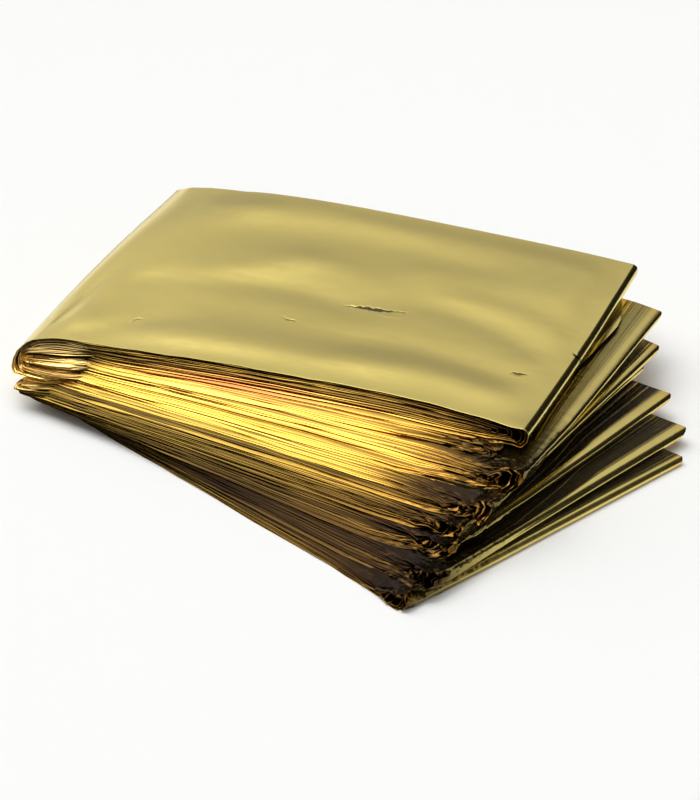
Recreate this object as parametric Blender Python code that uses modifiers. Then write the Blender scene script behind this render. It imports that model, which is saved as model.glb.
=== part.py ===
"""Emergency foil blanket, folded to its packed size.

One sheet of gold metallised film, 2.10 m by 1.30 m, is pleated lengthwise into a flat strip of
14 thicknesses, and the strip is folded back and forth into 15 layers. The layers have slipped
round like a hand of cards, and the stack is pinched at its front left corner. The solid is the
pleated strip as one band, with its real path, folds and the gaps between its layers.

Metres, +Z up. The origin is the centre of the footprint, on the surface the blanket lies on.
"""

from collections import namedtuple

import bmesh
import bpy
import numpy as np

OBJECT_NAME = "foil_blanket"
MM = 0.001

# The strip
STRIP_WIDTH = 92.9 * MM             # 1.30 m of film pleated into 14
LAYER_GAP = 0.30 * MM               # air between two layers of the strip

# The stack: its height at the corners of its middle layer, and the pinch in one corner
STACK_LEFT = -70.6 * MM
STACK_RIGHT = 66.4 * MM
STACK_FRONT = -46.3 * MM
STACK_BACK = 46.7 * MM
HEIGHT_FRONT_LEFT = 18.6 * MM
HEIGHT_FRONT_RIGHT = 19.1 * MM
HEIGHT_BACK_LEFT = 22.3 * MM
HEIGHT_BACK_RIGHT = 18.2 * MM
PINCH_DEPTH = 6.3 * MM              # how far the pinch lowers the front left corner
PINCH_REACH = 48.0 * MM             # distance over which the pinch fades to about a third

# Steps of the mesh
LAYER_STEPS = 11                    # along one layer, from fold to fold
FOLD_STEPS = 8                      # round one fold
ACROSS_STEPS = 9                    # from the front edge to the back edge

# The ends of the strip's layers, in the order in which the strip runs through them: the free end
# inside the stack, the folds by turns on the left and on the right, and the free end underneath.
# The first three left folds lie one inside the other. Each row holds one end:
#   x, y     where its front end lies, in mm
#   turn     how far it is turned anticlockwise from square, in degrees
#   depth_f  how deep the bend is at its front end, in mm, where it is longer than round
#   depth_b  the same at its back end
#   spring   how far the bend springs open at its front end, in mm
#   level    the place in the stack of the layer that starts here, counted from below
End = namedtuple("End", "x y turn depth_f depth_b spring level")
STRIP_ENDS = (
    End(61.5, -23.5, 6.0, 0.0, 0.0, 0.0, 12),      # free end, between two right folds
    End(-62.5, -45.3, 7.0, 0.0, 0.0, 0.0, 11),     # left, innermost of three
    End(72.5, -31.0, 8.6, 0.0, 0.0, 3.0, 10),      # right
    End(-66.0, -45.6, 9.0, 1.8, 4.5, 0.0, 13),     # left, round the innermost
    End(66.2, -16.4, 13.0, 0.0, 0.0, 1.0, 14),     # right
    End(-69.7, -46.0, 12.0, 3.0, 15.0, 0.0, 9),    # left, round them both
    End(71.1, -44.2, 4.3, 0.0, 0.0, 0.8, 8),       # right
    End(-64.2, -52.2, 1.0, 0.0, 0.0, 0.0, 7),      # left
    End(68.3, -49.7, 2.5, 0.0, 0.0, 0.6, 6),       # right
    End(-63.2, -52.7, -2.0, 0.0, 0.0, 0.0, 5),     # left
    End(69.5, -54.9, -3.5, 0.0, 0.0, 0.8, 4),      # right
    End(-59.7, -52.7, -6.0, 0.0, 0.0, 0.0, 3),     # left
    End(72.2, -65.2, -7.8, 0.0, 0.0, 1.2, 2),      # right
    End(-61.7, -46.7, -11.0, 0.0, 0.0, 0.0, 1),    # left
    End(69.5, -74.3, -12.5, 0.0, 0.0, 2.0, 0),     # right
    End(-64.6, -44.3, -12.5, 0.0, 0.0, 0.0, None), # free end, underneath
)
LAYERS = len(STRIP_ENDS) - 1

# How much of the stack's height each layer takes, from the bottom layer to the top one
LAYER_SHARES = (0.95, 0.85, 0.9, 0.85, 0.9, 0.85, 0.95, 0.9, 0.95, 0.95, 1.0, 1.05, 0.85, 1.45, 1.6)

SPRING_RADIUS = 5.5 * MM            # distance over which a sprung corner settles

FILM_GOLD = (0.62, 0.47, 0.12, 1.0)
FILM_METALLIC = 1.0
FILM_ROUGHNESS = 0.22


def eased_steps(count):
    """Numbers from 0 to 1 that lie closer together towards both ends."""
    return (1 - np.cos(np.linspace(0, np.pi, count + 1))) / 2


def stack_height(x, y):
    """Height of the whole stack over (x, y): level from corner to corner, less the pinch."""
    along = (x - STACK_LEFT) / (STACK_RIGHT - STACK_LEFT)
    back = (y - STACK_FRONT) / (STACK_BACK - STACK_FRONT)
    front_height = HEIGHT_FRONT_LEFT + (HEIGHT_FRONT_RIGHT - HEIGHT_FRONT_LEFT) * along
    back_height = HEIGHT_BACK_LEFT + (HEIGHT_BACK_RIGHT - HEIGHT_BACK_LEFT) * along
    from_corner = np.hypot(x - STACK_LEFT, y - STACK_FRONT)
    pinch = PINCH_DEPTH * np.exp(-from_corner / PINCH_REACH)
    return front_height + (back_height - front_height) * back - pinch


def sprung_rise(level, x, y):
    """How far the sprung corners at and below a level lift it: one soft bump at each of them."""
    rise = np.zeros_like(x)
    for before, end in zip(STRIP_ENDS, STRIP_ENDS[1:]):
        if end.spring and max(before.level, end.level) <= level:
            distance = np.hypot(x - end.x * MM, y - end.y * MM)
            rise += end.spring * MM * np.exp(-(distance / SPRING_RADIUS) ** 2)
    return rise


def layer_at(level, plan):
    """Middle height and thickness of a layer over plan points, from the layers' shares."""
    x = plan[..., 0]
    y = plan[..., 1]
    pitch = (stack_height(x, y) + LAYER_GAP) / sum(LAYER_SHARES)
    thickness = LAYER_SHARES[level] * pitch - LAYER_GAP
    below = sum(LAYER_SHARES[:level]) * pitch
    return below + thickness / 2 + sprung_rise(level, x, y), thickness


def end_line(end, across):
    """Points of a layer's end, from the front edge (across 0) to the back edge (across 1)."""
    turn = np.radians(end.turn)
    x = end.x * MM - STRIP_WIDTH * across * np.sin(turn)
    y = end.y * MM + STRIP_WIDTH * across * np.cos(turn)
    return np.stack([x, y], axis=-1)


def outward(end, side):
    """Unit vector square to a layer's end, pointing out of the stack (side -1 left, 1 right)."""
    turn = np.radians(end.turn)
    return side * np.array([np.cos(turn), np.sin(turn)])


def bend_depth(end, before, after, across, line):
    """How far a bend reaches along the layer: as round as its height asks, or its own depth."""
    height = layer_at(after, line)[0] - layer_at(before, line)[0]
    own = (end.depth_f + (end.depth_b - end.depth_f) * across) * MM
    return np.maximum(abs(height) / 2, own)


def folded_strip():
    """Middle surface of the folded strip and its thickness, row by row along the strip.

    A layer's rows run evenly between the two bends at its ends. A bend's rows go half round an
    ellipse: out and back with the sine of the angle, and from one layer's height to the next
    one's with the cosine.
    """
    across = eased_steps(ACROSS_STEPS)
    lines = [end_line(end, across) for end in STRIP_ENDS]
    sides = [1 if index % 2 == 0 else -1 for index in range(len(STRIP_ENDS))]
    depths = [np.zeros(ACROSS_STEPS + 1) for end in STRIP_ENDS]
    for index in range(1, LAYERS):
        end = STRIP_ENDS[index]
        before = STRIP_ENDS[index - 1].level
        depths[index] = bend_depth(end, before, end.level, across, lines[index])
    reaches = [depth[:, None] * outward(end, side)
               for depth, end, side in zip(depths, STRIP_ENDS, sides)]
    bases = [line - reach for line, reach in zip(lines, reaches)]

    places = []
    thicknesses = []
    for index in range(LAYERS):
        level = STRIP_ENDS[index].level
        for step in eased_steps(LAYER_STEPS):
            plan = bases[index] + (bases[index + 1] - bases[index]) * step
            height, thickness = layer_at(level, plan)
            places.append(np.column_stack([plan, height]))
            thicknesses.append(thickness)
        if index + 1 == LAYERS:
            break
        next_level = STRIP_ENDS[index + 1].level
        for angle in np.linspace(0, np.pi, FOLD_STEPS + 1)[1:-1]:
            plan = bases[index + 1] + np.sin(angle) * reaches[index + 1]
            share = (1 - np.cos(angle)) / 2
            height, thickness = layer_at(level, plan)
            next_height, next_thickness = layer_at(next_level, plan)
            places.append(np.column_stack([plan, height + (next_height - height) * share]))
            thicknesses.append(thickness + (next_thickness - thickness) * share)
    return np.array(places), np.array(thicknesses)


def film_material():
    """Gold metallised film: a thin mirror-like metal coat, softened by fine crinkles."""
    material = bpy.data.materials.new("gold metallised film")
    material.use_nodes = True
    shader = material.node_tree.nodes["Principled BSDF"]
    shader.inputs["Base Color"].default_value = FILM_GOLD
    shader.inputs["Metallic"].default_value = FILM_METALLIC
    shader.inputs["Roughness"].default_value = FILM_ROUGHNESS
    return material


def build_blanket(collection):
    """Lay the strip out as a flat grid, move its rows to their folded places and thicken it."""
    places, thickness = folded_strip()
    stations, columns = thickness.shape
    thickest = float(thickness.max())

    mesh = bpy.data.meshes.new(OBJECT_NAME)
    grid = bmesh.new()
    bmesh.ops.create_grid(grid, x_segments=stations - 1, y_segments=columns - 1, size=0.5)
    grid.verts.ensure_lookup_table()
    weights = []
    for vert in grid.verts:
        station = round((vert.co.x + 0.5) * (stations - 1))
        column = round((vert.co.y + 0.5) * (columns - 1))
        vert.co = places[station, column]
        weights.append(float(thickness[station, column]) / thickest)
    grid.to_mesh(mesh)
    grid.free()
    mesh.materials.append(film_material())
    mesh.shade_smooth()

    blanket = bpy.data.objects.new(OBJECT_NAME, mesh)
    collection.objects.link(blanket)
    group = blanket.vertex_groups.new(name="thickness")
    for index, weight in enumerate(weights):
        group.add([index], weight, "REPLACE")

    solidify = blanket.modifiers.new("strip thickness", "SOLIDIFY")
    solidify.thickness = thickest
    solidify.offset = 0.0
    solidify.vertex_group = group.name
    solidify.use_even_offset = True
    solidify.use_rim = True
    return blanket


for old in list(bpy.data.objects):
    bpy.data.objects.remove(old, do_unlink=True)

parts = bpy.data.collections.new("emergency foil blanket")
bpy.context.scene.collection.children.link(parts)
build_blanket(parts)
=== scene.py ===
from collections import namedtuple

import bpy
import numpy as np
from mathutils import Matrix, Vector


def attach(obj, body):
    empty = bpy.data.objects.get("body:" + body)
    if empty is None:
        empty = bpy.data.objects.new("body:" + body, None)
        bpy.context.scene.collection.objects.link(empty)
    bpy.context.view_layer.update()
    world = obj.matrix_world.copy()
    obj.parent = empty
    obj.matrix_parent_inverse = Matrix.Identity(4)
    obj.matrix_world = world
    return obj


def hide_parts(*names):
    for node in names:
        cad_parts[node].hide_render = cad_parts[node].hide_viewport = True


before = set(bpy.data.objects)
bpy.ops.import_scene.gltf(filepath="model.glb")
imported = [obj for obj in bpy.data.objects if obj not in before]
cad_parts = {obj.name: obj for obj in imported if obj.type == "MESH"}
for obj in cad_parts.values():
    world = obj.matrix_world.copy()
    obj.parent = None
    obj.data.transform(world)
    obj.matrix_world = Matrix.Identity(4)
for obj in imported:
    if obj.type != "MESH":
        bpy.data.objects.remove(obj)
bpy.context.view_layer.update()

# ------------------------------------------------------------
# The film: one thin sheet, 2.10 m by 1.30 m, of gold metallised polyester. It is pleated
# lengthwise into fourteen, and the strip that this makes is folded back and forth into fifteen
# layers. It is a grid of rows along the strip and columns across the film.

MM = 0.001
SHEET_FLAT = (1.30, 2.10)
PLEATS = 14
NOSES = PLEATS // 2  # the pleats' folds at the front of the strip
STRIP_WIDTH = 92.9 * MM
LAYER_PITCH = 140 * MM  # the length of strip from one layer to the next
LAYER_LENGTH = 136 * MM  # the flat part of that
LAYER_GAP = 0.30 * MM
STACK_LEFT = -70.6 * MM
STACK_RIGHT = 66.4 * MM
STACK_FRONT = -46.3 * MM
STACK_BACK = 46.7 * MM
HEIGHT_FRONT_LEFT = 18.6 * MM
HEIGHT_FRONT_RIGHT = 19.1 * MM
HEIGHT_BACK_LEFT = 22.3 * MM
HEIGHT_BACK_RIGHT = 18.2 * MM
PINCH_DEPTH = 6.3 * MM  # how far the front left corner is pressed down
PINCH_REACH = 48.0 * MM
SPRING_RADIUS = 5.5 * MM  # how far round a sprung corner its rise reaches
# how thick each layer is beside the others, with the lowest first
LAYER_SHARES = (0.95, 0.85, 0.9, 0.85, 0.9, 0.85, 0.95, 0.9, 0.95, 0.95, 1.0, 1.05, 0.85, 1.45, 1.6)

# The ends of the strip's layers, in the order in which the strip runs through them. Each row has
# the front corner in mm, the turn in degrees, the depth of the bend at the front and the back in
# mm, how far the corner springs up in mm, and the level of the layer from this end to the next.
End = namedtuple("End", "x y turn depth_f depth_b spring level")
STRIP_ENDS = (
    End(61.5, -23.5, 6.0, 0.0, 0.0, 0.0, 12),
    End(-62.5, -45.3, 7.0, 0.0, 0.0, 0.0, 11),
    End(72.5, -31.0, 8.6, 0.0, 0.0, 3.0, 10),
    End(-66.0, -45.6, 9.0, 1.8, 4.5, 0.0, 13),
    End(66.2, -16.4, 13.0, 0.0, 0.0, 0.3, 14),
    End(-69.7, -46.0, 12.0, 3.0, 11.0, 0.0, 9),
    End(71.1, -44.2, 4.3, 0.0, 0.0, 0.8, 8),
    End(-64.2, -52.2, 1.0, 0.0, 0.0, 0.0, 7),
    End(68.3, -49.7, 2.5, 0.0, 0.0, 0.6, 6),
    End(-63.2, -52.7, -2.0, 0.0, 0.0, 0.0, 5),
    End(69.5, -54.9, -3.5, 0.0, 0.0, 0.8, 4),
    End(-59.7, -52.7, -6.0, 0.0, 0.0, 0.0, 3),
    End(72.2, -65.2, -7.8, 0.0, 0.0, 1.2, 2),
    End(-61.7, -46.7, -11.0, 0.0, 0.0, 0.0, 1),
    End(69.5, -74.3, -12.5, 0.0, 0.0, 2.0, 0),
    End(-64.6, -44.3, -12.5, 0.0, 0.0, 0.0, None),
)
LAYERS = len(STRIP_ENDS) - 1
TOP_LEVEL = LAYERS - 1

# How far the fourteen thicknesses stand back at the front of each fold, in mm, two by two from the
# outermost to the innermost, with a row for each end of a layer.
Nest = namedtuple("Nest", "one two three four five six seven")
FOLD_NESTS = (
    Nest(0.0, 1.5, 0.4, 3.0, 1.0, 2.2, 0.0),
    Nest(-4.2, -3.9, -3.5, -3.0, -2.4, -1.7, -0.8),
    Nest(0.0, 0.5, 1.4, 3.2, 4.6, 5.2, 7.4),
    Nest(-1.8, -1.6, -1.2, -0.8, -0.4, 0.2, 0.9),
    Nest(0.0, 0.4, 0.9, 2.8, 3.4, 5.6, 6.8),
    Nest(1.2, 1.4, 1.7, 2.0, 2.4, 2.9, 3.4),
    Nest(0.0, 1.2, 1.8, 3.6, 4.4, 5.0, 7.6),
    Nest(0.0, 0.4, 0.7, 1.6, 1.9, 2.3, 2.9),
    Nest(0.0, 0.6, 2.0, 2.6, 4.6, 5.6, 6.7),
    Nest(0.0, 0.3, 1.2, 1.5, 2.2, 2.5, 3.1),
    Nest(0.0, 1.6, 2.1, 3.2, 4.8, 5.9, 7.1),
    Nest(0.0, 0.5, 0.8, 1.8, 2.0, 2.6, 3.0),
    Nest(0.0, 0.5, 2.3, 3.8, 4.6, 6.2, 7.9),
    Nest(0.0, 0.3, 0.9, 1.3, 1.9, 2.4, 2.8),
    Nest(0.0, 0.5, 1.0, 2.2, 3.8, 5.1, 6.9),
    Nest(0.0, 1.1, 0.5, 2.0, 0.8, 1.7, 0.3),
)
NEST_REACH = 12 * MM  # how fast that closes up towards the back
RIGHT_FOLD_SPREAD = 1.5 * MM  # how much further in a fold's innermost film turns, on the right
LEFT_FOLD_SPREAD = 0.6 * MM  # and on the left
FOLD_SWAY = 0.25 * MM  # how far a right fold's line sways
FOLD_SWAY_LENGTH = 24 * MM  # the length of one radian of that
FOLD_SWAY_STEP = 2.1  # how far each fold's sway is ahead of the last one's, in radians
FREE_CORNER = 9.0 * MM  # how far the back corner of the sheet's free end is turned in
FREE_CORNER_FROM = 70 * MM  # where that begins across the strip, and how far it reaches
FREE_CORNER_REACH = 22 * MM

# where the rows lie along one layer, in mm from its left end
LAYER_ROWS = np.array([0.0, 1.2, 3.0, 6.0, 10.0, 13.5, 16.5, 18.5, 20.5, 23.0, 27.0, 34.0, 45.0, 58.0,
                       72.0, 86.0, 99.0, 110.0, 118.0, 124.0, 128.5, 132.0, 134.5, 136.0])
TOP_LAYER_STEPS = 42  # rows along the top layer
BEND_STEPS = 6  # rows round a fold of the strip
# where the columns lie across one pleat, as a share of its width
MARGIN_STEPS = np.array([0.0, 0.005, 0.012, 0.022, 0.055, 0.12, 0.35, 0.68, 0.95, 0.985, 1.0])
TOP_PLEAT_STEPS = 40  # columns across the pleat that lies on top
NOSE_STEPS = 4  # columns round a fold of a pleat
NOSE_BULGE = 0.6  # how far that bulges, as a share of the gap between its two films
NOSE_SHARE = 0.01  # how much of a pleat's width it takes in the UV map

# The front edges of the layers, in mm along x: between these places they are evened out, each
# with the ones above and below it.
EVENED_LEFT = (-68.0, -52.0)
EVENED_RIGHT = (76.0, 46.0)
EVENED_TIMES = 3
PAST_END = 0.1  # how far past its layer a front edge runs on, as a share of it
SLIP_AT_FOLD = 0.45  # the share of a film's slip that is left at a right fold
SLIP_REACH = 22 * MM  # how far from the fold it is whole
NARROWED = 3.5 * MM  # how far the upper layers' fronts are drawn back midway
NARROWED_LEFT = (-72.0, -58.0)
NARROWED_RIGHT = (62.0, 38.0)
NARROWED_HEIGHTS = (11.5, 14.5)

# How the films differ along the strip. A gap has its usual share and how much it varies, and the
# waves are given by their lengths in metres.
Gap = namedtuple("Gap", "usual varied")
FOLDED_GAP = Gap(0.7, 0.3)  # between the two films of a front fold
OPEN_GAP = Gap(0.4, 1.3)  # between one front fold and the next
GAP_WAVES = (0.13, 0.31)
SET_BACK = np.array([0.0, 0.35, 0.2, 0.05, 0.3, 0.25, 0.0])  # of each front fold, in mm
SET_BACK_VARIED = 0.5
SET_BACK_WAVES = (0.11, 0.23)
RIPPLE = 0.22  # of the front folds, in mm
RIPPLE_WAVES = (0.017, 0.041)
SET_BACK_RANGE = (-0.5, 2.2)
WAVE_STRETCH = (0.8, 1.25)  # how many waves may lie in the length given for one

# How a film's front margin sinks onto the film below it: over what width, how far for each
# millimetre of gap, and how much of the sinking the next film up takes over.
MARGIN = 2.4 * MM
STRIP_THICKNESS = 1.0 * MM
SUNK = 0.9
UPPER_SUNK = 1.25
UPPER_SUNK_LEVELS = (10, 11, 12, 13)
SUNK_CARRIED = 0.25

# Low mounds on the upper layers, in mm: a swelling over the left folds and a lowered back left
# corner. They and the dome grow from layer to layer, between two heights.
Mound = namedtuple("Mound", "x y reach_x reach_y height")
MOUNDS = (Mound(-62.0, -46.0, 11.0, 18.0, 1.7), Mound(-84.0, 46.0, 11.0, 24.0, -1.4))
MOUND_HEIGHTS = (9, 15)
DOME_X, DOME_REACH, DOME_HEIGHT = -2.0, 66.0, 1.0
DOME_BACK = (0.0, 50.0)  # from where to where along y it grows higher
DOME_HIGHER = 1.2
DOME_HEIGHTS = (9, 14)

# The front edges beside the left folds swell in two groups of layers, up to a crease in each. All
# are in mm, and in layers of height.
GROUPS_PART = 9.0
PUFF_START_X = -72.0
UPPER_CREASE_X, UPPER_CREASE_BOW = -50.5, 4.0
UPPER_MIDDLE, UPPER_HALF = 12, 3
LOWER_CREASE_X = -57.0
UPPER_PUFF, LOWER_PUFF = 2.3, 1.5
PUFF_SKEW, PUFF_BLUNTNESS = 1.2, 0.7
UPPER_GROOVES = (11.2, 13.1)
GROOVE_WIDTH, GROOVE_DEPTH = 0.2, 0.6
CREASE_SUNK, CREASE_REACH = 1.4, 6.0
PUFF_BOTTOM, PUFF_TOP = (6, 7), (14.4, 13.5)
PUFF_DEPTH = 5 * MM  # how far back it reaches

# The waves that crumple the front right corners: the axis that each one shifts, how far in mm,
# its lengths along x and y in mm, how many of it a layer holds, and its phase.
Wave = namedtuple("Wave", "axis size length_x length_y per_layer phase")
CRUMPLES = (
    Wave(0, 0.5, 40.0, 11.0, 0.9, 0.4),
    Wave(0, 0.4, 60.0, 5.0, 1.7, 2.1),
    Wave(1, 0.9, 7.3, 50.0, 0.45, 1.2),
    Wave(1, 0.6, 4.6, -30.0, 1.15, 3.0),
    Wave(2, 0.30, 8.1, 9.3, 0.2, 0.0),
    Wave(2, 0.20, 4.9, -5.2, 0.3, 1.0),
)
CRUSHED_X, CRUSHED_DEPTH = 12 * MM, 13 * MM  # how far from the corner that reaches
CRUSHED_HEIGHTS = (14.2, 12.7)  # from where down it grows, in layers
LEAST_HEIGHT = 0.02 * MM  # of the film over the floor

# The soft troughs and ridges of the top layer: the ends of each one's line, its height above or
# below the film round it, and how wide it is to either side, all in mm.
Crease = namedtuple("Crease", "x1 y1 x2 y2 height width")
TOP_CREASES = (
    Crease(-50.0, 30.0, 10.0, 44.0, -0.42, 9.0),
    Crease(-46.0, 4.0, -28.0, 20.0, 0.38, 6.5),
    Crease(-28.0, 22.0, -8.0, 22.0, 0.30, 4.8),
    Crease(-56.0, -6.0, -30.0, 4.0, -0.40, 5.0),
    Crease(-22.0, 8.0, -6.0, 6.0, -0.45, 4.0),
    Crease(6.0, 36.0, 44.0, 40.0, 0.35, 7.0),
    Crease(14.0, 20.0, 46.0, 17.0, -0.40, 4.0),
    Crease(20.0, 27.0, 52.0, 26.0, 0.35, 4.0),
    Crease(8.0, -6.0, 48.0, 2.0, -0.40, 4.0),
    Crease(16.0, -15.0, 54.0, -8.0, 0.30, 4.0),
    Crease(-55.3, -41.0, -41.4, -23.1, -0.35, 4.0),
    Crease(-59.0, -44.0, -70.5, 2.0, 0.22, 2.6),
    Crease(-62.0, 34.0, -48.0, 56.0, 0.35, 8.0),
    Crease(-52.0, -16.0, 0.0, -12.0, -0.25, 8.0),
    Crease(-30.0, -28.0, 20.0, -18.0, 0.30, 8.0),
    Crease(-4.0, 10.2, 9.5, 13.4, -0.16, 2.6),
    Crease(-65.5, -40.0, -67.0, -16.0, 0.34, 6.0),
)
TOP_CLEAR, TOP_LEAST = 0.50, 0.03  # how far the top film stands off the next, and at the least
CREASE_SWAY = 0.35  # how far a crease sways, as a share of its width
CREASE_SWAY_LENGTH = 2.2  # the length of one radian of that, the same
CREASE_END = 1.6  # how far past its ends it dies away, the same
RELIEF_RIGHT, RELIEF_LEFT, RELIEF_SIDES = 14 * MM, 7 * MM, 12 * MM  # how far in it grows to full


def fade(value, start, stop):
    """How far a value has come from start, 0, to stop, 1, and no further."""
    return np.clip((value - start) / (stop - start), 0, 1)


def bell(value, middle, reach, power=2):
    """A bell, 1 in its middle: exp(-u^power), where u is the distance from there over the reach."""
    return np.exp(-((value - middle) / reach) ** power)


def eased(count):
    """Steps from 0 to 1 that are closer together at both ends: (1 - cos) / 2 of even steps."""
    return (1 - np.cos(np.linspace(0, np.pi, count + 1))) / 2


def stack_height(x, y):
    """The height of the stack: bilinear between its corners, less the pinch at its front left.

    The pinch dies away as exp of minus the distance over its reach.
    """
    along = (x - STACK_LEFT) / (STACK_RIGHT - STACK_LEFT)
    back = (y - STACK_FRONT) / (STACK_BACK - STACK_FRONT)
    front_height = HEIGHT_FRONT_LEFT + (HEIGHT_FRONT_RIGHT - HEIGHT_FRONT_LEFT) * along
    back_height = HEIGHT_BACK_LEFT + (HEIGHT_BACK_RIGHT - HEIGHT_BACK_LEFT) * along
    distance = np.hypot(x - STACK_LEFT, y - STACK_FRONT)
    return (front_height + (back_height - front_height) * back
            - PINCH_DEPTH * np.exp(-distance / PINCH_REACH))


def sprung_rise(level, x, y):
    """How far the sprung corners at or below a level lift it: a bell round each of them."""
    rise = 0.0
    for before, end in zip(STRIP_ENDS, STRIP_ENDS[1:]):
        if end.spring and max(before.level, end.level) <= level:
            distance = np.hypot(x - end.x * MM, y - end.y * MM)
            rise = rise + end.spring * MM * bell(distance, 0, SPRING_RADIUS)
    return rise


def layer_at(level, x, y):
    """The height of a layer's middle, and its thickness: its share of the stack's height."""
    pitch = (stack_height(x, y) + LAYER_GAP) / sum(LAYER_SHARES)
    thickness = LAYER_SHARES[level] * pitch - LAYER_GAP
    return sum(LAYER_SHARES[:level]) * pitch + thickness / 2 + sprung_rise(level, x, y), thickness


def front_lines(x):
    """How far back each level's front edge lies at x, in metres, with the lowest level first.

    Each is a straight line between its layer's two corners. Midway along the layers it takes half
    of itself and a quarter of each of its two neighbours, three times over.
    """
    lines = [None] * LAYERS
    for before, end in zip(STRIP_ENDS, STRIP_ENDS[1:]):
        share = np.clip((x / MM - before.x) / (end.x - before.x), -PAST_END, 1 + PAST_END)
        lines[before.level] = (before.y + (end.y - before.y) * share) * MM
    lines = np.array(lines)
    even = lines
    for _ in range(EVENED_TIMES):
        padded = np.concatenate([even[:1], even, even[-1:]])
        even = (padded[:-2] + 2 * even + padded[2:]) / 4
    return lines + (even - lines) * fade(x / MM, *EVENED_LEFT) * fade(x / MM, *EVENED_RIGHT)


def wander(along, count, lengths, seed):
    """Smooth random curves along the strip, each a sum of sines of about the given lengths."""
    rng = np.random.default_rng(seed)
    total = 0.0
    for length in lengths:
        phase = rng.uniform(0, 2 * np.pi, count)
        stretch = rng.uniform(*WAVE_STRETCH, count)
        total = total + np.sin(along[:, None] * 2 * np.pi / length * stretch + phase)
    return total / np.sqrt(len(lengths))


def film_columns():
    """For each column: its two pleats and the mix of them, its place across, and its bulge.

    A flat column has one pleat. Those round a pleat's fold go from one pleat to the next as
    (1 - cos) / 2 of the angle, and bulge by its sine.
    """
    first, second, mix, across, bulge = [], [], [], [], []
    for pleat in range(PLEATS):
        flat = eased(TOP_PLEAT_STEPS) if pleat == PLEATS - 1 else MARGIN_STEPS
        forward = pleat % 2 == 0
        first += [pleat] * len(flat)
        second += [pleat] * len(flat)
        mix += [0.0] * len(flat)
        across += list(1 - flat if forward else flat)
        bulge += [0.0] * len(flat)
        if pleat < PLEATS - 1:
            angles = np.linspace(0, np.pi, NOSE_STEPS + 1)[1:-1]
            first += [pleat] * len(angles)
            second += [pleat + 1] * len(angles)
            mix += list((1 - np.cos(angles)) / 2)
            across += [0.0 if forward else 1.0] * len(angles)
            bulge += list(np.sin(angles) * (-1 if forward else 1))
    return np.array(first), np.array(second), np.array(mix), np.array(across), np.array(bulge)


def film_rows():
    """For each row: the layer or fold it is in, whether that is a fold, and how far along it lies.

    That is a share of a layer's length, or the angle round a fold.
    """
    index, is_fold, place = [], [], []
    rightward = LAYER_ROWS / LAYER_ROWS[-1]
    for layer in range(LAYERS):
        steps = rightward if STRIP_ENDS[layer].x < 0 else 1 - rightward[::-1]
        if STRIP_ENDS[layer].level == TOP_LEVEL:
            steps = eased(TOP_LAYER_STEPS)
        index += [layer] * len(steps)
        is_fold += [False] * len(steps)
        place += list(steps)
        if layer < LAYERS - 1:
            angles = np.linspace(0, np.pi, BEND_STEPS + 1)[1:-1]
            index += [layer + 1] * len(angles)
            is_fold += [True] * len(angles)
            place += list(angles)
    return np.array(index), np.array(is_fold), np.array(place)


def lift(height, x, y):
    """How far the upper layers are raised: the mounds, and a dome over them.

    A mound is a bell in x and y. The dome is 1 - u^4 along the layers, and higher by the square of
    how far back it is.
    """
    mounds = sum(mound.height * bell(x / MM, mound.x, mound.reach_x) * bell(y / MM, mound.y, mound.reach_y)
                 for mound in MOUNDS)
    dome = DOME_HEIGHT * np.clip(1 - ((x / MM - DOME_X) / DOME_REACH) ** 4, 0, 1)
    dome = dome * (1 + DOME_HIGHER * fade(y / MM, *DOME_BACK) ** 2)
    return (mounds * fade(height, *MOUND_HEIGHTS) + dome * fade(height, *DOME_HEIGHTS)) * MM


def puff(height, x):
    """How far the films' front edges swell beside the left folds, in metres.

    Two groups of layers swell as a skewed, blunt half sine, parted by narrow grooves, up to a
    crease, which bows in the upper group. Past the crease the edges are sunk, less and less.
    """
    upper = height > GROUPS_PART
    bowed = UPPER_CREASE_X - UPPER_CREASE_BOW * ((height - UPPER_MIDDLE) / UPPER_HALF) ** 2
    crease = np.where(upper, bowed, LOWER_CREASE_X) * MM
    reach = fade(x, PUFF_START_X * MM, crease)
    grooves = sum(bell(height, groove, GROOVE_WIDTH) for groove in (GROUPS_PART, *UPPER_GROOVES))
    swell = np.where(upper, UPPER_PUFF, LOWER_PUFF) * (1 - GROOVE_DEPTH * grooves)
    swell = swell * np.abs(np.sin(np.pi * reach ** PUFF_SKEW)) ** PUFF_BLUNTNESS
    sunk = CREASE_SUNK * np.exp(-np.maximum(x - crease, 0) / (CREASE_REACH * MM)) * (x > crease)
    return (swell - sunk) * fade(height, *PUFF_BOTTOM) * fade(height, *PUFF_TOP) * MM


def crushed(x, depth, right):
    """How crumpled the film is, from 0 to 1: a bell round the front corner of a right fold."""
    return bell(x, right, CRUSHED_X) * bell(depth, 0, CRUSHED_DEPTH)


def crumple(height, x, y, amount):
    """The shifts in x, y and z of the crumpled corners: each is a sum of two slanting sine waves."""
    shifts = [0.0, 0.0, 0.0]
    for wave in CRUMPLES:
        turns = x / MM / wave.length_x + y / MM / wave.length_y + height * wave.per_layer
        shifts[wave.axis] = shifts[wave.axis] + wave.size * np.sin(2 * np.pi * turns + wave.phase)
    return [shift * amount * MM for shift in shifts]


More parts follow.
